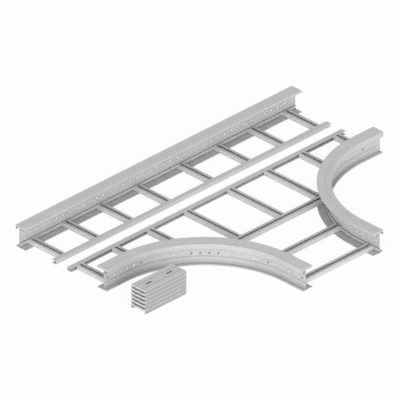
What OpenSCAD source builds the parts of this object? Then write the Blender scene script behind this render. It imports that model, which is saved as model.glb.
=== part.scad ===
// Wide-span cable ladder tee in two bolt-together halves, with its stack of splice plates.
// X runs along the main run, the branch leaves towards -Y and Z is up.
// The origin is under the back rail, on the middle of its bottom flange at mid-length.

/* [Rail section] */
// Height of every side rail
rail_h = 152; // [120:1:200]
// Width of the top flange
flange_w = 88; // [75:1:110]
// Depth of the lip that hangs from the top flange's outer edge
outer_lip = 32; // [20:1:40]
// How far the inner half of the top flange stands above the outer half
top_rise = 2; // [1:0.5:4]
// Outer edge to the middle of the joggle in the top flange
rise_in = 38; // [30:1:45]
// Depth of the hollow fold along the inner half of the top flange
top_fold = 15; // [10:1:20]
// Outer edge to the middle of the web
web_in = 31; // [26:1:36]
// Height of the rolled groove along the web's outside
groove_z = 52; // [46:1:58]
// Depth of the groove
groove_in = 2; // [0.5:0.25:2.5]
// Width of the groove
groove_w = 8; // [6:0.5:12]
// How far the bottom flange's outer edge stands in from the top flange's
bottom_in = 6.5; // [3:0.5:10]
// Depth of the hollow fold along the outer half of the bottom flange
bottom_fold = 9; // [8:0.5:14]
// Height of the leg that turns up off the bottom flange beside the web
leg_h = 30; // [20:1:40]
// Clear gap between the web and the leg
leg_gap = 3; // [1:0.25:5]
// Clear gap inside the hem along the bottom flange's inner half
hem_gap = 0.3; // [0.2:0.1:1]
// Sheet thickness of the rails
rail_sheet = 2.5; // [1.5:0.25:3]
// Bend radius at the middle of the rails' sheet
rail_bend = 1.8; // [1.6:0.1:3]

/* [Rail holes] */
// Diameter of the holes along the web
hole_d = 12; // [7:0.5:14]
// Height of the hole row
hole_z = 74; // [68:1:90]
// Distance between holes
hole_pitch = 57; // [40:1:80]
// Rail end to its first hole
hole_end = 30; // [20:1:45]
// Holes round each curve
curve_holes = 20; // [12:1:24]

/* [Tee plan] */
// Width across the branch, outer edge to outer edge of its rails
branch_w = 690; // [500:1:1000]
// Radius of the curved rails at their concave outer edge
arc_r = 655; // [450:1:800]
// Straight length at each end of a curved rail
stub = 170; // [150:1:300]
// Back half: outer edge of the rail to the joint face
back_depth = 338; // [260:1:500]
// Front half: outer edge of the rails to the joint face
front_depth = 350; // [260:1:500]
// Distance between the joint faces while the halves lie apart
halves_apart = 92; // [20:1:300]

/* [Rungs] */
// Width of a rung
rung_w = 55; // [40:1:70]
// Height of a rung
rung_h = 27; // [20:1:32]
// Width of the slot along a rung's top
rung_slot = 19; // [12:1:24]
// Sheet thickness of the rungs
rung_sheet = 2; // [1.5:0.25:3]
// Bend radius at the middle of the rungs' sheet
rung_bend = 2.5; // [2:0.25:4]
// Middle of the run to the first rung on each side
rung_first = 183; // [120:1:220]
// First rung to the second
rung_second = 314; // [250:1:330]
// Distance between the outer rungs of the back half
rung_pitch = 291; // [220:1:300]
// Distance between the outer rungs of the front half
front_pitch = 296; // [220:1:300]
// Outer line of the front rails to the first branch rung
branch_first = 148; // [100:1:200]
// Last branch rung to the end of the branch
branch_last = 76; // [40:1:120]
// Clearance at a rung end that meets a rail, for the weld
weld_gap = 0.3; // [0.1:0.1:0.8]

/* [Joint channels] */
// Height of the channels
channel_h = 25; // [20:1:32]
// Rail end to the end of a channel
channel_in = 6; // [0:1:20]
// Width of the channels' flanges
channel_flange = 36; // [25:1:60]
// Sheet thickness of the channels
channel_sheet = 2.5; // [1.5:0.25:3]
// Bend radius at the middle of the channels' sheet
channel_bend = 2.75; // [2:0.25:4]

/* [Splice plates] */
// Length of a splice plate
plate_l = 344; // [280:1:420]
// Depth of a splice plate, which is also its step in the stack
plate_h = 27; // [22:1:32]
// Play above and below a plate between the rail's flanges
plate_play = 2.25; // [1:0.25:10]
// Width of the lips that turn inwards at the plate's edges
plate_lip = 14; // [8:1:20]
// Middle of a plate to the rolled groove on each half of its web
plate_groove = 26.5; // [20:0.5:35]
// Bottom of a plate to the rolled groove along each of its walls
wall_groove = 11; // [9:0.5:13]
// Depth of the plates' grooves
plate_groove_in = 2; // [0.5:0.25:2.5]
// Width of the plates' grooves
plate_groove_w = 7; // [6:0.5:9]
// Depth of the apron that closes the top of a plate's end
plate_apron = 12; // [9:1:16]
// Width of the returns beside the opening in a plate's end
plate_return = 6; // [4:0.5:12]
// Length of the bolt slots
slot_l = 52; // [25:1:60]
// Sheet thickness of the plates
plate_sheet = 2.5; // [2:0.25:3.25]
// Bend radius at the middle of the plates' sheet
plate_bend = 1.75; // [1.75:0.25:2.5]
// How far the stack reaches past the end of the run
stack_out = 27; // [0:1:100]
// Outer line of the front rails to the stack
stack_gap = 228; // [150:1:300]

/* [Hidden] */
$fn = 180;
bend_steps = 3;
bend_share = 0.48;
rung_count = 8;
branch_count = 3;
plate_count = 6;
slot_pitches = 1.5;

run_half = branch_w / 2 + arc_r + stub;
back_out = flange_w / 2;
back_joint = back_out - back_depth;
front_joint = back_joint - halves_apart;
front_out = front_joint - front_depth;
arc_x = branch_w / 2 + arc_r;
arc_y = front_out - arc_r;
branch_end = arc_y - stub;

leg_in = web_in + rail_sheet + leg_gap;
seat_in = leg_in + rail_sheet / 2 + weld_gap;
seat_r = arc_r + seat_in;
hem_step = rail_sheet + hem_gap;

channel_half = run_half - channel_in;
rung_z = hem_step + rail_sheet;
first_branch_y = front_out - branch_first;
last_branch_y = branch_end + branch_last;
branch_pitch = (first_branch_y - last_branch_y) / (branch_count - 1);

plate_w = rail_h - top_fold - bottom_fold - 2 * plate_play;
stack_x = -run_half - stack_out + plate_l / 2;
stack_y = front_out - stack_gap - plate_w / 2;

drill = 8 * rail_sheet;
past = 20;
galvanised = [0.74, 0.75, 0.76];
rung_grey = [0.70, 0.71, 0.72];

// Rungs count from the left; step counts them out from the middle of the run.
function rung_step(i) = abs(i - (rung_count + 1) / 2) + 1 / 2;
function rung_side(i) = sign(i - (rung_count + 1) / 2);
function rung_at(i, pitch) = rung_side(i) * (
    rung_first + (rung_step(i) > 1 ? rung_second : 0) + max(rung_step(i) - 2, 0) * pitch
);

// Every piece is bent from sheet: a path along the middle of the sheet, with an arc at each corner.
function along(a, b) = (b - a) / norm(b - a);
function square_to(v) = [-v[1], v[0]];
function turned(v, deg) = [v[0] * cos(deg) - v[1] * sin(deg), v[0] * sin(deg) + v[1] * cos(deg)];
function reversed(list) = [for (i = [len(list) - 1 : -1 : 0]) list[i]];

function sheet_face(path, bend, away) = let (last = len(path) - 1) concat(
    [path[0] + square_to(along(path[0], path[1])) * away],
    [for (k = [1 : last - 1])
        let (
            before = along(path[k - 1], path[k]),
            after = along(path[k], path[k + 1]),
            swing = atan2(before[0] * after[1] - before[1] * after[0], before * after),
            hand = sign(swing),
            spare = bend_share * min(norm(path[k] - path[k - 1]), norm(path[k + 1] - path[k])),
            radius = min(bend, spare / tan(abs(swing) / 2)),
            hub = path[k] - before * radius * tan(abs(swing) / 2) + square_to(before) * hand * radius
        )
        for (j = [0 : bend_steps])
            hub - square_to(turned(before, swing * j / bend_steps)) * (hand * radius - away)],
    [path[last] + square_to(along(path[last - 1], path[last])) * away]
);

module bent_sheet(path, sheet, bend) {
    polygon(concat(
        sheet_face(path, bend, sheet / 2),
        reversed(sheet_face(path, bend, -sheet / 2))
    ));
}

// Rail section: x is the distance in from the outer edge, y the height.
module rail_section() {
    mid = rail_sheet / 2;
    low_top = rail_h - top_rise - mid;
    fold_z = rail_h - top_fold + mid;
    bent_sheet([
        [mid, rail_h - top_rise - outer_lip],
        [mid, low_top],
        [rise_in - top_rise, low_top],
        [rise_in + top_rise, rail_h - mid],
        [flange_w - mid, rail_h - mid],
        [flange_w - mid, fold_z],
        [web_in, fold_z],
        [web_in, groove_z + groove_w / 2],
        [web_in + groove_in, groove_z],
        [web_in, groove_z - groove_w / 2],
        [web_in, bottom_fold - mid],
        [bottom_in + mid, bottom_fold - mid],
        [bottom_in + mid, mid],
        [flange_w - mid, mid],
        [flange_w - mid, hem_step + mid],
        [leg_in, hem_step + mid],
        [leg_in, leg_h]
    ], rail_sheet, rail_bend);
}

// Plates that close the two folds at a rail's end, one sheet thick.
module fold_caps() {
    mid = rail_sheet / 2;
    fold_z = rail_h - top_fold + mid;
    linear_extrude(rail_sheet) {
        translate([mid, fold_z]) square([flange_w - rail_sheet, rail_h - top_rise - mid - fold_z]);
        translate([bottom_in + mid, mid]) square([web_in - bottom_in - mid, bottom_fold - rail_sheet]);
    }
}

// Rung section: a channel with its slot up.
module rung_section() {
    mid = rung_sheet / 2;
    wall = rung_w / 2 - mid;
    lip = rung_slot / 2;
    bent_sheet([
        [-lip, rung_h - mid],
        [-wall, rung_h - mid],
        [-wall, mid],
        [wall, mid],
        [wall, rung_h - mid],
        [lip, rung_h - mid]
    ], rung_sheet, rung_bend);
}

// Joint channel section: x is the distance in from the joint face.
module channel_section() {
    mid = channel_sheet / 2;
    bent_sheet([
        [channel_flange, channel_h - mid],
        [mid, channel_h - mid],
        [mid, mid],
        [channel_flange, mid]
    ], channel_sheet, channel_bend);
}

// Half of a splice plate, from its wall's foot to the middle of its web, on the +x side.
function half_plate() = let (
    wall = (plate_w - plate_sheet) / 2,
    web_z = plate_h - plate_sheet / 2,
    half_w = plate_groove_w / 2
) [
    [wall, plate_sheet / 2],
    [wall, wall_groove - half_w],
    [wall - plate_groove_in, wall_groove],
    [wall, wall_groove + half_w],
    [wall, web_z],
    [plate_groove + half_w, web_z],
    [plate_groove, web_z - plate_groove_in],
    [plate_groove - half_w, web_z]
];
function whole_plate() = concat(half_plate(), reversed([for (at = half_plate()) [-at[0], at[1]]]));

// Splice plate section: a lipped channel lying with its web up.
module plate_section() {
    lip = plate_w / 2 - plate_lip;
    foot = plate_sheet / 2;
    bent_sheet(concat([[lip, foot]], whole_plate(), [[-lip, foot]]), plate_sheet, plate_bend);
}

// Closed part of a plate's end: an apron under the web and a return beside each wall.
module plate_end() {
    gap = plate_w / 2 - plate_return;
    foot = plate_sheet / 2;
    apron_z = plate_h - plate_apron;
    linear_extrude(plate_sheet)
    polygon(concat(whole_plate(), [[-gap, foot], [-gap, apron_z], [gap, apron_z], [gap, foot]]));
}

module web_hole() {
    cylinder(d = hole_d, h = drill, center = true);
}

// The holes stand evenly between the two end holes, as near to the pitch as they come out.
module back_rail() {
    reach = run_half - hole_end;
    gaps = round(2 * reach / hole_pitch);
    color(galvanised)
    difference() {
        translate([run_half, back_out, 0]) rotate([90, 0, -90]) {
            linear_extrude(2 * run_half) rail_section();
            for (at = [0, 2 * run_half - rail_sheet]) translate([0, 0, at]) fold_caps();
        }
        for (i = [0 : gaps])
            translate([reach * (2 * i / gaps - 1), back_out - web_in, hole_z]) rotate([90, 0, 0]) web_hole();
    }
}

// Curved rail about its own arc centre: a straight end, a quarter turn and a second straight end.
module curved_rail() {
    web_r = arc_r + web_in;
    stub_rows = floor((stub - hole_end) / hole_pitch);
    difference() {
        union() {
            rotate([0, 0, 90]) rotate_extrude(angle = 90) translate([arc_r, 0]) rail_section();
            translate([0, arc_r, 0]) rotate([90, 0, 90]) {
                linear_extrude(stub) rail_section();
                translate([0, 0, stub - rail_sheet]) fold_caps();
            }
            translate([-arc_r, -stub, 0]) rotate([90, 0, 180]) {
                linear_extrude(stub) rail_section();
                fold_caps();
            }
        }
        for (i = [1 : curve_holes])
            rotate([0, 0, 90 + (i - 0.5) * 90 / curve_holes])
            translate([web_r, 0, hole_z]) rotate([0, 90, 0]) web_hole();
        for (i = [0 : stub_rows]) {
            away = stub - hole_end - i * hole_pitch;
            translate([away, web_r, hole_z]) rotate([90, 0, 0]) web_hole();
            translate([-web_r, -away, hole_z]) rotate([0, 90, 0]) web_hole();
        }
    }
}

module right_curved_rail() {
    color(galvanised) translate([arc_x, arc_y, 0]) curved_rail();
}

module left_curved_rail() {
    color(galvanised) mirror([1, 0, 0]) translate([arc_x, arc_y, 0]) curved_rail();
}

module back_joint_channel() {
    color(galvanised)
    translate([-channel_half, back_joint, rung_z]) rotate([90, 0, 90])
    linear_extrude(2 * channel_half) channel_section();
}

module front_joint_channel() {
    color(galvanised)
    translate([channel_half, front_joint, rung_z]) rotate([90, 0, -90])
    linear_extrude(2 * channel_half) channel_section();
}

// Rung along Y, from its far end towards -Y.
module cross_rung(x, from, to) {
    translate([x, from, rung_z]) rotate([90, 0, 0]) linear_extrude(from - to) rung_section();
}

// Everything on the far side of the curved rails' legs, which cuts the rung ends to fit.
module past_curved_rails() {
    for (s = [0, 1]) mirror([s, 0, 0]) translate([arc_x, arc_y, -past]) {
        cylinder(r = seat_r, h = rail_h);
        translate([0, -stub - past, 0]) cube([stub + past, seat_r + stub + past, rail_h]);
        translate([-seat_r, -stub - past, 0]) cube([seat_r + past, stub + past, rail_h]);
    }
}

// The back rungs stand on the rail's bottom flange and butt against the joint channel's flanges.
module back_rung(i) {
    color(rung_grey) cross_rung(rung_at(i, rung_pitch), back_out - seat_in, back_joint + channel_flange);
}

// The middle front rungs end at the first branch rung and the outer ones at the curved rails.
module front_rung(i) {
    ends_at = rung_step(i) <= 2 ? first_branch_y + rung_w / 2 : arc_y;
    color(rung_grey)
    difference() {
        cross_rung(rung_at(i, front_pitch), front_joint - channel_flange, ends_at);
        past_curved_rails();
    }
}

module branch_rung(i) {
    color(rung_grey)
    difference() {
        translate([-run_half, first_branch_y - (i - 1) * branch_pitch, rung_z])
            rotate([90, 0, 90]) linear_extrude(2 * run_half) rung_section();
        past_curved_rails();
    }
}

// A round-ended slot along X.
module bolt_slot() {
    run = slot_l - hole_d;
    cube([run, hole_d, drill], center = true);
    for (s = [-1, 1]) translate([s * run / 2, 0, 0]) web_hole();
}

// The plates lie on each other, lips on web.
module splice_plate(i) {
    color(galvanised)
    translate([stack_x, stack_y, (i - 1) * plate_h])
    difference() {
        translate([-plate_l / 2, 0, 0]) rotate([90, 0, 90]) {
            linear_extrude(plate_l) plate_section();
            for (at = [0, plate_l - plate_sheet]) translate([0, 0, at]) plate_end();
        }
        for (s = [-1, 1])
            translate([s * slot_pitches * hole_pitch, 0, plate_h]) bolt_slot();
    }
}

back_rail();
left_curved_rail();
right_curved_rail();
back_joint_channel();
front_joint_channel();
for (i = [1 : rung_count]) {
    back_rung(i);
    front_rung(i);
}
for (i = [1 : branch_count]) {
    branch_rung(i);
}
for (i = [1 : plate_count]) {
    splice_plate(i);
}
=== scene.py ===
# Wide-span cable ladder tee in galvanised sheet: a back half with a straight rail, a front half with two
# curved rails that lead to the branch, and the stack of splice plates that joins it to its neighbours.
import math

import bpy
from mathutils import Matrix, Vector


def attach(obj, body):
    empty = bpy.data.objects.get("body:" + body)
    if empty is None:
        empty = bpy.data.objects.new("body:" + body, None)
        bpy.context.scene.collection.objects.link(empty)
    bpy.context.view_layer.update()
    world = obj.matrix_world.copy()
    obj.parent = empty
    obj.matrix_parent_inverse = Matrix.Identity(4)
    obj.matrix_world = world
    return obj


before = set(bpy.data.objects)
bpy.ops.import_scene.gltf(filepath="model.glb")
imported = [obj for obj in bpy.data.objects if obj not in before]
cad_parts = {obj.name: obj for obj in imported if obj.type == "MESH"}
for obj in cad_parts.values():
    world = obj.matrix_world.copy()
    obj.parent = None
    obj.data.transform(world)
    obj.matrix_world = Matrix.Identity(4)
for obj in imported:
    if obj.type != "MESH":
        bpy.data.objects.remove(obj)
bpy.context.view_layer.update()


# Back rail: one strip of steel, roll-formed into a lipped and folded section, punched and then
# dipped in zinc. The zinc freezes in spangles, dulls in clouds and keeps faint lines of the rolls.
class Value:
    """One value in a node tree. Sums on it add Math nodes to the tree."""

    def __init__(self, tree, socket=None):
        self.tree = tree
        self.socket = socket

    def node(self, kind, settings=None, sockets=None, out=0):
        """Adds a node: its settings first, then the value or the link of each socket."""
        made = self.tree.nodes.new(kind)
        for name, value in (settings or {}).items():
            setattr(made, name, value)
        for name, value in (sockets or {}).items():
            if isinstance(value, Value):
                self.tree.links.new(value.socket, made.inputs[name])
            else:
                made.inputs[name].default_value = value
        return Value(self.tree, made.outputs[out] if len(made.outputs) else None)

    def beside(self, out):
        """Another output of the node that gives this value."""
        return Value(self.tree, self.socket.node.outputs[out])

    def sum(self, operation, *values):
        """One Math node with this operation."""
        return self.node("ShaderNodeMath", {"operation": operation}, dict(enumerate(values)))

    def __add__(self, other):
        return self.sum("ADD", self, other)

    __radd__ = __add__

    def __sub__(self, other):
        return self.sum("SUBTRACT", self, other)

    def __rsub__(self, other):
        return self.sum("SUBTRACT", other, self)

    def __mul__(self, other):
        return self.sum("MULTIPLY", self, other)

    __rmul__ = __mul__

    def __truediv__(self, other):
        return self.sum("DIVIDE", self, other)

    def __pow__(self, other):
        return self.sum("POWER", self, other)

    def size(self):
        return self.sum("ABSOLUTE", self)

    def least(self, other):
        return self.sum("MINIMUM", self, other)

    def most(self, other):
        return self.sum("MAXIMUM", self, other)

    def diagonal(self, other):
        """Straight distance, from two distances square to each other."""
        return (self ** 2.0 + other ** 2.0) ** 0.5

    def fade(self, start, end, first=1.0, last=0.0):
        """Smoothly from first to last as the value goes from start to end, and level beyond them."""
        return self.node("ShaderNodeMapRange", {"interpolation_type": "SMOOTHSTEP"}, {
            "Value": self, "From Min": start, "From Max": end, "To Min": first, "To Max": last})


def bare_material(name):
    """A material with no nodes yet, and an empty value to add them from."""
    made = bpy.data.materials.new(name)
    made.use_nodes = True
    made.node_tree.nodes.clear()
    return made, Value(made.node_tree)


def place_on(surface):
    """The point in the object's own frame, and its three distances along the axes."""
    point = surface.node("ShaderNodeTexCoord", out="Object")
    x = point.node("ShaderNodeSeparateXYZ", sockets={"Vector": point})
    return point, x, x.beside("Y"), x.beside("Z")


def mottle(place, per_metre, detail=3.0, harsh=0.5):
    """Cloudy values between 0 and 1, with about so many patches to the metre."""
    return place.node("ShaderNodeTexNoise", sockets={
        "Vector": place, "Scale": per_metre, "Detail": detail, "Roughness": harsh})


def streaks(place, per_metre, detail):
    """The same, drawn out: so many patches to the metre along, across and up the sheet."""
    drawn = place.node("ShaderNodeVectorMath", {"operation": "MULTIPLY"}, {0: place, 1: per_metre})
    return mottle(drawn, 1.0, detail)


def between(share, first, second):
    """A colour that goes from the first to the second as the share goes from 0 to 1."""
    colours = {0: share, 6: (*first, 1), 7: (*second, 1)}
    return share.node("ShaderNodeMix", {"data_type": "RGBA"}, colours, out=2)


# patches to the metre, and the width of a spangle's dark rim as a share of the spangle
FROST = 700.0
CLOUDS = 5.0
CLOUD_HARSHNESS = 0.55
ROLL_LINES = (2.5, 220.0, 220.0)
SPANGLE_RIM = 0.09
# white bloom: the values between which it thins out, and how it tints the grey
BLOOM = (0.62, 0.95)
BLOOM_TINT = (1.04, 1.035, 1.02)
# clean zinc before its marks are added, and how much painted shade darkens it
ZINC_TONE = 0.95
ZINC_ROUGHNESS = 0.62
ZINC_METAL = 0.22
ZINC_SHINE = 0.3
PAINTED_SHADE_DARKENS = 0.55
RELIEF = 0.25
RELIEF_DEPTH = 0.0004


def zinc_coat(strip, wear_and_highlight, painted_shade, grey, spangle):
    """Closes a material as hot-dip zinc with spangles of this size, in metres.

    strip runs along, across and up the sheet. The wear mask goes from 0 to 1 where the zinc is worn bright
    or a highlight is painted, the shade mask where shade is painted on it.
    """
    # the frozen crystals, each with its own shade and gloss, their rims, and the fine frost on them
    cells = {"Vector": strip, "Scale": 1 / spangle, "Randomness": 1.0}
    crystals = strip.node("ShaderNodeTexVoronoi", {"feature": "F1"}, cells, out="Color")
    shade = crystals.node("ShaderNodeSeparateColor", sockets={"Color": crystals})
    gloss = shade.beside("Green")
    rim = strip.node("ShaderNodeTexVoronoi", {"feature": "DISTANCE_TO_EDGE"}, cells).fade(0.0, SPANGLE_RIM)
    frost = mottle(strip, FROST)
    # slow clouds where the zinc has dulled, white bloom in their hollows, and the lines of the rolls
    clouds = mottle(strip, CLOUDS, 4.0, CLOUD_HARSHNESS)
    bloom = (clouds * 1.6 + frost * 0.35).fade(*BLOOM)
    lines = streaks(strip, ROLL_LINES, 2.0)

    # what each of these marks adds to the tone, the roughness, the metal and the relief; the shade mask
    # darkens the tone as painted shade, and roughens and dulls the zinc there
    tone = (ZINC_TONE + shade * 0.07 + clouds * 0.05 + (lines - 0.5) * 0.05 + (frost - 0.5) * 0.05
            - rim * 0.02 + bloom * 0.03 + wear_and_highlight * 0.07) * (1.0 - painted_shade * PAINTED_SHADE_DARKENS)
    tinted = between(bloom * 0.5, grey, [part * tint for part, tint in zip(grey, BLOOM_TINT)])
    coloured = tinted.node("ShaderNodeVectorMath", {"operation": "SCALE"}, {0: tinted, "Scale": tone})
    roughness = (ZINC_ROUGHNESS + (gloss - 0.5) * 0.12 + (clouds - 0.5) * 0.16 + bloom * 0.12
                 + (lines - 0.5) * 0.06 - wear_and_highlight * 0.14 + painted_shade * 0.2)
    metal = (ZINC_METAL + (shade - 0.5) * 0.12 - bloom * 0.12 + wear_and_highlight * 0.2) * (1.0 - painted_shade * 0.7)
    height = shade * 0.25 + lines * 0.3 + frost * 0.12 - rim * 0.2 + clouds * 0.5
    relief = height.node("ShaderNodeBump", sockets={
        "Strength": RELIEF, "Distance": RELIEF_DEPTH, "Height": height})
    coat = coloured.node("ShaderNodeBsdfPrincipled", sockets={
        "Base Color": coloured, "Roughness": roughness, "Metallic": metal,
        "Specular IOR Level": ZINC_SHINE, "Normal": relief})
    coat.node("ShaderNodeOutputMaterial", sockets={"Surface": coat})


def nearest(distances):
    """The least of several distances."""
    closest = distances[0]
    for distance in distances[1:]:
        closest = closest.least(distance)
    return closest


def to_nearest(place, pitch):
    """Signed distance to the nearest of the marks that repeat at the pitch."""
    count = place / pitch
    return (count - count.sum("ROUND", count)) * pitch


def dress(name, material):
    """Gives a CAD piece its material."""
    piece = bpy.data.objects[name]
    piece.data.materials.clear()
    piece.data.materials.append(material)


RAIL_GREY = (0.50, 0.502, 0.505)
RAIL_SPANGLE = 0.011
RAIL_PATCHES = 34.0
RAIL_H = 0.152
FLANGE_W = 0.088
TOP_OUT = 0.150
LIP_FOOT = 0.118
TOP_FOLD_FOOT = 0.137
BOTTOM_IN = 0.0065
BOTTOM_FOLD = 0.009
HEM_TOP = 0.0053
LEG_FACE = 0.03775
LEG_TOP = 0.030
WEB_IN = 0.031
HOLE_Z = 0.074
HOLE_PITCH = 0.057
HOLE_R = 0.006
# lines along the strip that are made bright, each by its distance in from the edge and up: the edges
# of the lip, the folds, the hem and the leg, which handling rubs bright, and two lines on the leg's face, a
# painted highlight
RAIL_BENDS = ((0.0, TOP_OUT), (0.0, LIP_FOOT), (FLANGE_W, RAIL_H), (FLANGE_W, TOP_FOLD_FOOT),
              (BOTTOM_IN, 0.0), (BOTTOM_IN, BOTTOM_FOLD), (FLANGE_W, 0.0), (FLANGE_W, HEM_TOP),
              (LEG_FACE, LEG_TOP), (LEG_FACE, 0.022), (LEG_FACE, 0.0135))
# lines of painted shade along the strip, in the corners and folds: in, up, where they start to thin, where
# they end, how much shade is painted all along them and how much more in patches
LEG_FOOT = (LEG_FACE, HEM_TOP, 0.002, 0.0075, 0.7, 0.5)
LEG_SLIT = (0.0323, 0.0310, 0.002, 0.0090, 0.5, 0.3)
WEB_GROOVE = (0.0298, 0.0520, 0.001, 0.0060, 0.45, 0.3)
TOP_STEP = (0.0370, 0.1510, 0.0008, 0.0055, 0.1, 0.2)
# where wear and painted shade start to thin and where they end
BEND_WEAR = (0.001, 0.006)
WEAR_PATCHES = (0.66, 0.36)
HOLE_RIM_SHADE = (HOLE_R + 0.0008, HOLE_R + 0.0035)
WEB_MIDDLE = (WEB_IN - 0.0005, WEB_IN + 0.0005)
LOWER_WEB_SHADE = (0.006, 0.048)
HEM_SKIN = (0.0004, 0.0012)
LEG_SKIN = (LEG_FACE, LEG_FACE + 0.002)


def rail_wear_and_shade(strip, across, up, from_hole):
    """Where a rail's zinc is rubbed bright along its bends, with a painted highlight on its leg, and where
    shade is painted in its corners and folds, on its hem, low on its outside and round its holes.
    """
    patches = mottle(strip, RAIL_PATCHES)

    # one line of painted shade along the strip
    def shade_line(line_in, line_up, start, end, all_along, in_patches):
        from_line = (across - line_in).diagonal(up - line_up)
        return from_line.fade(start, end) * (all_along + patches * in_patches)

    # wear rubbed bright along the bends, and a painted highlight along the leg's face
    bends = nearest([(across - line_in).diagonal(up - line_up) for line_in, line_up in RAIL_BENDS])
    wear_and_highlight = bends.fade(*BEND_WEAR) * patches.fade(*WEAR_PATCHES)
    # painted shade: round the holes, darker towards the bottom of the outside web, on the hem's top, in the
    # leg's corners and in the folds
    hole_rim_shade = from_hole.diagonal(up - HOLE_Z).fade(*HOLE_RIM_SHADE) * (0.2 + patches * 0.35)
    outside = across.fade(*WEB_MIDDLE)
    lower_web_shade = up.fade(*LOWER_WEB_SHADE) * outside * (0.25 + patches * 0.2)
    hem_shade = (up - HEM_TOP).size().fade(*HEM_SKIN) * (1.0 - across.fade(*LEG_SKIN)) * (0.2 + patches * 0.3)
    corner_shade = shade_line(*LEG_FOOT).most(shade_line(*LEG_SLIT) * (1.0 - outside))
    fold_shade = shade_line(*WEB_GROOVE).most(shade_line(*TOP_STEP))
    return wear_and_highlight, corner_shade.most(fold_shade).most(lower_web_shade).most(hem_shade).most(hole_rim_shade)


RUN_HALF = 1.170
HOLE_END = 0.030
BACK_OUT = 0.044

straight_zinc, surface = bare_material("straight_rail_zinc")
point, x, y, z = place_on(surface)
from_hole = to_nearest((RUN_HALF - HOLE_END) - x.size(), HOLE_PITCH)
wear_and_highlight, painted_shade = rail_wear_and_shade(point, BACK_OUT - y, z, from_hole)
zinc_coat(point, wear_and_highlight, painted_shade, RAIL_GREY, RAIL_SPANGLE)
dress("back_rail", straight_zinc)


# Curved rails: the same strip, ring-rolled through a quarter turn with a straight length left at each
# end. The zinc's spangles and the roll lines follow the bend, so they are laid out along the strip.
ARC_R = 0.655
ARC_X = 1.000
ARC_Y = -1.391
STUB = 0.170
CURVE_HOLES = 20
STRIPS_APART = 5.0

curved_zinc, surface = bare_material("curved_rail_zinc")
point, x, y, z = place_on(surface)
from_x = ARC_X - x.size()
from_y = y - ARC_Y
side_x = from_x.most(0.0)
side_y = from_y.most(0.0)
across = side_x.diagonal(side_y) - ARC_R
swing = side_x.sum("ARCTAN2", side_x, side_y)
run_end = (0.0 - from_x).most(0.0)
branch_end = (0.0 - from_y).most(0.0)
along = swing * ARC_R + branch_end - run_end + x.sum("SIGN", x) * STRIPS_APART
strip = along.node("ShaderNodeCombineXYZ", sockets={"X": along, "Y": across, "Z": z})
# the holes are spaced by angle round the curve and by length on the straight ends
hole_swing = math.pi / 2 / CURVE_HOLES
straight = run_end + branch_end
on_curve = to_nearest(swing - hole_swing / 2, hole_swing) * (ARC_R + WEB_IN)
on_straight = to_nearest(straight - (STUB - HOLE_END), HOLE_PITCH)
is_straight = straight.sum("GREATER_THAN", straight, 0.0)
from_hole = on_curve * (1.0 - is_straight) + on_straight * is_straight
wear_and_highlight, painted_shade = rail_wear_and_shade(strip, across, z, from_hole)
zinc_coat(strip, wear_and_highlight, painted_shade, RAIL_GREY, RAIL_SPANGLE)
for name in ("left_curved_rail", "right_curved_rail"):
    dress(name, curved_zinc)


# Joint channels: plain press-braked channels, one along the open side of each half. They bolt back to
# back through their webs when the halves are brought together. Shade is painted on their tops.
CHANNEL_GREY = (0.56, 0.562, 0.566)
CHANNEL_SPANGLE = 0.009
CHANNEL_PATCHES = 40.0
CHANNEL_TOP = 0.0303
CHANNEL_FLANGE = 0.036
BACK_JOINT = -0.294
FRONT_JOINT = -0.386
# where wear and painted shade start to thin and where they end
CHANNEL_WEAR = (0.001, 0.005)
CHANNEL_WEAR_PATCHES = (0.64, 0.36)
TOP_SKIN = (0.0005, 0.0015)


def top_shade_amount(patches):
    """How much painted shade darkens a top, a little all over and more in patches."""
    return 0.1 + patches * 0.2


channel_zinc, surface = bare_material("joint_channel_zinc")
point, x, y, z = place_on(surface)
patches = mottle(point, CHANNEL_PATCHES)
to_web = (y - BACK_JOINT).size().least((y - FRONT_JOINT).size())
to_edge = to_web.least((to_web - CHANNEL_FLANGE).size())
wear_and_highlight = to_edge.diagonal(z - CHANNEL_TOP).fade(*CHANNEL_WEAR) * patches.fade(*CHANNEL_WEAR_PATCHES)
# painted shade on the channels' tops
shaded_top = (z - CHANNEL_TOP).size().fade(*TOP_SKIN) * top_shade_amount(patches)
zinc_coat(point, wear_and_highlight, shaded_top, CHANNEL_GREY, CHANNEL_SPANGLE)
for name in ("back_joint_channel", "front_joint_channel"):
    dress(name, channel_zinc)


# Rungs: slotted strut channel, cut to length and set slot up on the rails' bottom flanges. The zinc is
# thinner and brighter than the rails'. Shade is painted on the lips and in the hollow under them, and cable
# cleats rub their edges.
RUNG_GREY = (0.55, 0.552, 0.556)
RUNG_SPANGLE = 0.008
RUNG_SCUFFS = 55.0
RUNG_TOP = 0.0323
RUNG_HALF = 0.0275
SLOT_HALF = 0.0095
BACK_X = (0.183, 0.497, 0.788, 1.079)
FRONT_X = (0.183, 0.497, 0.793, 1.089)
BRANCH_Y = (-0.884, -1.1845, -1.485)
# where wear and painted shade start to thin and where they end
LIP_WEAR = (0.0008, 0.004)
SIDE_WEAR = (0.001, 0.004)
SCUFF_PATCHES = (0.68, 0.34)
HOLLOW_WIDTH = (SLOT_HALF, RUNG_HALF - 0.002)
HOLLOW_DEPTH = (0.002, 0.008)


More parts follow.
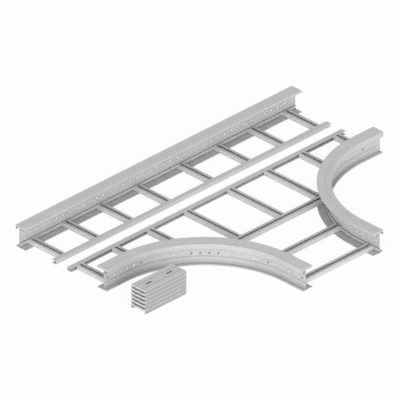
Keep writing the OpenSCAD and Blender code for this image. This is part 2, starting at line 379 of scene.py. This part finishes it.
def rung_zinc(name, middles, along_x):
    """Zinc for the rungs with these middle lines. along_x says that they run along X, and not along Y."""
    made, surface = bare_material(name)
    point, x, y, z = place_on(surface)
    strip = point if along_x else point.node("ShaderNodeCombineXYZ", sockets={"X": y, "Y": x, "Z": z})
    place = y if along_x else x.size()
    off = nearest([(place - middle).size() for middle in middles])
    below = (RUNG_TOP - z).size()
    scuffs = mottle(strip, RUNG_SCUFFS)
    lips = (off - SLOT_HALF).diagonal(below).fade(*LIP_WEAR)
    sides = (off - RUNG_HALF).diagonal(below).fade(*SIDE_WEAR)
    wear_and_highlight = (lips * 0.8).most(sides) * scuffs.fade(*SCUFF_PATCHES)
    # painted shade in the hollow under the lips and on the rungs' tops
    hollow_shade = off.fade(*HOLLOW_WIDTH) * (1.0 - below.fade(*HOLLOW_DEPTH)) * (0.05 + scuffs * 0.25)
    shaded_top = below.fade(*TOP_SKIN) * top_shade_amount(scuffs)
    zinc_coat(strip, wear_and_highlight, hollow_shade.most(shaded_top), RUNG_GREY, RUNG_SPANGLE)
    return made


rung_coats = {
    "back": rung_zinc("back_rung_zinc", BACK_X, False),
    "front": rung_zinc("front_rung_zinc", FRONT_X, False),
    "branch": rung_zinc("branch_rung_zinc", BRANCH_Y, True),
}
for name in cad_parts:
    group, piece = name.split("_")[:2]
    if piece == "rung":
        dress(name, rung_coats[group])


# Welds: short fillet beads hold each rung's walls to the rail's leg, or to the first branch rung, and
# its lips to the joint channel. They are run by hand, so no two are alike, and are brushed over with
# zinc paint.
BEAD_L = 0.020
BEAD_R = 0.0016
BEAD_RIPPLE = 0.0012
BEAD_SEED = 7
BEAD_RINGS = 13
BEAD_SIDES = 8
# the share of a bead's length in which it swells, and how thin its ends are
BEAD_TAPER = 0.12
BEAD_END = 0.45
LEAST_STRETCH = (0.85, 0.85, 0.85)
MOST_STRETCH = (1.2, 1.2, 1.1)
RIPPLES = 260.0
PAINT_DULL = (0.36, 0.36, 0.355)
PAINT_BRIGHT = (0.5, 0.505, 0.51)
PAINT_SPOTS = 90.0
PAINT_CRUST = 420.0
CRUST_DEPTH = 0.0005
UPRIGHT = (0.0, 0.0, 0.0)
LYING = (0.0, math.pi / 2, 0.0)

leg_r = ARC_R + LEG_FACE
wall_z = (HEM_TOP + RUNG_TOP) / 2
lip_mid = (SLOT_HALF + RUNG_HALF) / 2


def curved_leg_y(x):
    reach = max(ARC_X - abs(x), 0.0)
    return ARC_Y + math.sqrt(leg_r ** 2 - reach ** 2)


def curved_leg_x(y):
    reach = max(y - ARC_Y, 0.0)
    return ARC_X - math.sqrt(leg_r ** 2 - reach ** 2)


beads = []
for rung_x in [side * off for off in BACK_X for side in (-1, 1)]:
    for wall in (-RUNG_HALF, RUNG_HALF):
        beads.append(((rung_x + wall, BACK_OUT - LEG_FACE, wall_z), UPRIGHT))
    for lip in (-lip_mid, lip_mid):
        beads.append(((rung_x + lip, BACK_JOINT + CHANNEL_FLANGE, CHANNEL_TOP), LYING))
for rung_x in [side * off for off in FRONT_X for side in (-1, 1)]:
    to_rail = abs(rung_x) > FRONT_X[1]
    for wall in (-RUNG_HALF, RUNG_HALF):
        seat_y = curved_leg_y(rung_x + wall) if to_rail else BRANCH_Y[0] + RUNG_HALF
        beads.append(((rung_x + wall, seat_y, wall_z), UPRIGHT))
    for lip in (-lip_mid, lip_mid):
        beads.append(((rung_x + lip, FRONT_JOINT - CHANNEL_FLANGE, CHANNEL_TOP), LYING))
for rung_y in BRANCH_Y:
    for wall in (-RUNG_HALF, RUNG_HALF):
        for side in (-1, 1):
            beads.append(((side * curved_leg_x(rung_y + wall), rung_y + wall, wall_z), UPRIGHT))

seats = bpy.data.meshes.new("weld_seats")
seats.from_pydata([seat for seat, lie in beads], [], [])
lies = seats.attributes.new("lie", "FLOAT_VECTOR", "POINT")
lies.data.foreach_set("vector", [angle for seat, lie in beads for angle in lie])
welds = bpy.data.objects.new("rung_welds", seats)
bpy.context.collection.objects.link(welds)

weld_zinc, surface = bare_material("weld_zinc_paint")
point = surface.node("ShaderNodeTexCoord", out="Object")
crust = mottle(point, PAINT_CRUST, 4.0)
spots = mottle(point, PAINT_SPOTS)
paint = between(spots, PAINT_DULL, PAINT_BRIGHT)
relief = crust.node("ShaderNodeBump", sockets={"Strength": 0.5, "Distance": CRUST_DEPTH, "Height": crust})
coat = paint.node("ShaderNodeBsdfPrincipled", sockets={
    "Base Color": paint, "Roughness": 0.5 + crust * 0.3, "Metallic": 0.2 + spots * 0.2, "Normal": relief})
coat.node("ShaderNodeOutputMaterial", sockets={"Surface": coat})

tree = bpy.data.node_groups.new("hand_run_beads", "GeometryNodeTree")
tree.interface.new_socket("Seats", in_out="INPUT", socket_type="NodeSocketGeometry")
bead_inputs = {}
for label, kind, value in (("Bead length", "NodeSocketFloat", BEAD_L),
                           ("Bead radius", "NodeSocketFloat", BEAD_R),
                           ("Ripple", "NodeSocketFloat", BEAD_RIPPLE),
                           ("Seed", "NodeSocketInt", BEAD_SEED),
                           ("Paint", "NodeSocketMaterial", weld_zinc)):
    socket = tree.interface.new_socket(label, in_out="INPUT", socket_type=kind)
    bead_inputs[socket.identifier] = value
tree.interface.new_socket("Beads", in_out="OUTPUT", socket_type="NodeSocketGeometry")

# one bead stands on its middle, swells from both ends and is laid on every seat
given = Value(tree).node("NodeGroupInput", out="Seats")
half_length = given.beside("Bead length") * 0.5
foot = given.node("ShaderNodeCombineXYZ", sockets={"Z": half_length * -1.0})
head = given.node("ShaderNodeCombineXYZ", sockets={"Z": half_length})
spine = given.node("GeometryNodeCurvePrimitiveLine", sockets={"Start": foot, "End": head})
spine = spine.node("GeometryNodeResampleCurve", sockets={"Curve": spine, "Count": BEAD_RINGS})
share = given.node("GeometryNodeSplineParameter", out="Factor")
swell = share.sum("PINGPONG", share, 0.5).fade(0.0, BEAD_TAPER, BEAD_END, 1.0)
ring = given.node("GeometryNodeCurvePrimitiveCircle", sockets={
    "Resolution": BEAD_SIDES, "Radius": given.beside("Bead radius")})
bead = spine.node("GeometryNodeCurveToMesh", sockets={
    "Curve": spine, "Profile Curve": ring, "Scale": swell, "Fill Caps": True})
lie = given.node("GeometryNodeInputNamedAttribute", {"data_type": "FLOAT_VECTOR"}, {"Name": "lie"},
                 out="Attribute")
turned = lie.node("FunctionNodeEulerToRotation", sockets={"Euler": lie})
stretch = given.node("FunctionNodeRandomValue", {"data_type": "FLOAT_VECTOR"}, {
    "Min": LEAST_STRETCH, "Max": MOST_STRETCH, "Seed": given.beside("Seed")})
laid = bead.node("GeometryNodeInstanceOnPoints", sockets={
    "Points": given, "Instance": bead, "Rotation": turned, "Scale": stretch})
laid = laid.node("GeometryNodeRealizeInstances", sockets={"Geometry": laid})
# then the hand's unsteadiness moves its skin, and it is painted
wander = given.node("ShaderNodeTexNoise", sockets={"Scale": RIPPLES, "Detail": 2.0}, out="Color")
centred = wander.node("ShaderNodeVectorMath", {"operation": "SUBTRACT"}, {0: wander, 1: (0.5, 0.5, 0.5)})
push = centred.node("ShaderNodeVectorMath", {"operation": "SCALE"},
                    {0: centred, "Scale": given.beside("Ripple")})
laid = laid.node("GeometryNodeSetPosition", sockets={"Geometry": laid, "Offset": push})
laid = laid.node("GeometryNodeSetShadeSmooth", sockets={"Geometry": laid})
laid = laid.node("GeometryNodeSetMaterial", sockets={"Geometry": laid, "Material": given.beside("Paint")})
laid.node("NodeGroupOutput", sockets={"Beads": laid})

grow = welds.modifiers.new("hand_run_beads", "NODES")
grow.node_group = tree
for identifier, value in bead_inputs.items():
    grow[identifier] = value
grown = welds.evaluated_get(bpy.context.evaluated_depsgraph_get())
bead_mesh = bpy.data.meshes.new_from_object(grown)
welds.modifiers.remove(grow)
welds.data = bead_mesh
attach(welds, "root")


# Splice plates: lipped plates, roll-formed with four grooves and punched with two bolt slots, one plate
# for each rail end. They come loose in a stack. Their crowns are scuffed, and shade is painted on the top
# of the stack, on its walls and in the grooves.
PLATE_GREY = (0.56, 0.562, 0.566)
PLATE_SPANGLE = 0.010
PLATE_PATCHES = 30.0
SCRATCHES = (9.0, 160.0, 160.0)
STACK_Y = -1.02575
STACK_TOP = 0.162
PLATE_STEP = 0.027
PLATE_HALF = 0.06175
WEB_GROOVE_OUT = 0.0265
WALL_GROOVE_Z = 0.011
GROOVE_IN = 0.002
# where wear and painted shade start to thin and where they end, and how dark the painted shade on the walls
# is
CROWN_WEAR = (0.001, 0.005)
SCRATCH_EDGE = (0.6, 0.72)
GROOVE_SHADE = (0.0015, 0.0045)
WALL_SKIN = (0.0045, 0.006)
CROWN_SKIN = (0.0005, 0.003)
STACK_SKIN = (0.0008, 0.0015)
WALL_SHADE = 0.66

plate_zinc, surface = bare_material("splice_plate_zinc")
point, x, y, z = place_on(surface)
patches = mottle(point, PLATE_PATCHES)
off = (y - STACK_Y).size()
from_step = to_nearest(z, PLATE_STEP).size()
crown = (off - PLATE_HALF).diagonal(from_step).fade(*CROWN_WEAR) * patches.fade(*WEAR_PATCHES)
scratched = 1.0 - streaks(point, SCRATCHES, 4.0).fade(*SCRATCH_EDGE)
# painted shade in the grooves, on the walls and on the top of the stack
web_groove = (off - WEB_GROOVE_OUT).diagonal(from_step - GROOVE_IN).fade(*GROOVE_SHADE)
from_wall_groove = to_nearest(z - WALL_GROOVE_Z, PLATE_STEP)
wall_groove = (off - (PLATE_HALF - GROOVE_IN)).diagonal(from_wall_groove).fade(*GROOVE_SHADE)
in_groove = web_groove.most(wall_groove * 0.85) * (0.8 + patches * 0.3)
on_wall = (PLATE_HALF - off).fade(*WALL_SKIN) * (1.0 - from_step.fade(*CROWN_SKIN)) * WALL_SHADE
shaded_top = (STACK_TOP - z).fade(*STACK_SKIN) * top_shade_amount(patches)
zinc_coat(point, crown + scratched * 0.35, in_groove.most(on_wall).most(shaded_top), PLATE_GREY, PLATE_SPANGLE)
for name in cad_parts:
    if name.startswith("splice_plate"):
        dress(name, plate_zinc)


# Stage: a white floor that keeps a soft shadow, a white surround and two soft lights on the camera's
# side, one for each open side of the tee, low enough to lift the upright faces.
FLOOR_HALF = 20.0
FLOOR_Z = -0.0006
FLOOR_WHITE = (0.9, 0.9, 0.9, 1)
FLOOR_GLOW = 0.92
SURROUND = 0.66
PURE_WHITE = (1, 1, 1, 1)
RUN_KEY = 1.75
BRANCH_KEY = 2.05
KEY_ELEVATION = math.radians(13.5)
KEY_SPREAD = math.radians(60)
KEY_TURN = math.radians(16)


def looked_at(surface):
    """1 for what the camera sees, straight, mirrored or through glass, and 0 for the light it gives."""
    seen = surface.node("ShaderNodeLightPath", out="Is Camera Ray")
    return seen.most(seen.beside("Is Glossy Ray")).most(seen.beside("Is Transmission Ray"))


floor_mesh = bpy.data.meshes.new("floor")
corners = [(right * FLOOR_HALF, far * FLOOR_HALF, FLOOR_Z)
           for right, far in ((-1, -1), (1, -1), (1, 1), (-1, 1))]
floor_mesh.from_pydata(corners, [], [(0, 1, 2, 3)])
floor = bpy.data.objects.new("floor", floor_mesh)
bpy.context.collection.objects.link(floor)

floor_white, surface = bare_material("floor_white")
matt = surface.node("ShaderNodeBsdfDiffuse", sockets={"Color": FLOOR_WHITE})
glow = surface.node("ShaderNodeEmission", sockets={"Color": PURE_WHITE, "Strength": 1.0})
mixed = surface.node("ShaderNodeMixShader", sockets={0: looked_at(surface) * FLOOR_GLOW, 1: matt, 2: glow})
mixed.node("ShaderNodeOutputMaterial", sockets={"Surface": mixed})
floor_mesh.materials.append(floor_white)

world = bpy.data.worlds.new("white_surround")
world.use_nodes = True
world.node_tree.nodes.clear()
surface = Value(world.node_tree)
strength = SURROUND + looked_at(surface) * (1.0 - SURROUND)
sky = surface.node("ShaderNodeBackground", sockets={"Color": PURE_WHITE, "Strength": strength})
sky.node("ShaderNodeOutputWorld", sockets={"Surface": sky})
bpy.context.scene.world = world

for name, turn, energy in (("run_side_light", KEY_TURN, RUN_KEY),
                           ("branch_side_light", math.pi / 2 - KEY_TURN, BRANCH_KEY)):
    light = bpy.data.lights.new(name, "SUN")
    light.energy = energy
    light.angle = KEY_SPREAD
    lamp = bpy.data.objects.new(name, light)
    bpy.context.collection.objects.link(lamp)
    towards = Vector((-math.cos(turn), -math.sin(turn), math.tan(KEY_ELEVATION)))
    lamp.rotation_euler = towards.to_track_quat("Z", "Y").to_euler()


# Camera: a parallel view from about 30 degrees above, square to the corner between the run and the
# branch, and wide enough to hold both halves and the stack.
VIEW_ELEVATION = math.radians(30.2)
VIEW_WIDTH = 2.4
VIEW_CENTRE = Vector((-0.001, -0.351, 0.0))
VIEW_AWAY = 5.0

slant = math.sqrt(0.5)
level = math.cos(VIEW_ELEVATION) * slant
back = Vector((-level, -level, math.sin(VIEW_ELEVATION)))
right = Vector((slant, -slant, 0.0))
lens = bpy.data.cameras.new("camera")
lens.type = "ORTHO"
lens.ortho_scale = VIEW_WIDTH
camera = bpy.data.objects.new("camera", lens)
bpy.context.collection.objects.link(camera)
aim = Matrix((right, back.cross(right), back)).transposed().to_4x4()
aim.translation = VIEW_CENTRE + back * VIEW_AWAY
camera.matrix_world = aim
bpy.context.scene.camera = camera
bpy.context.scene.view_settings.view_transform = "Standard"
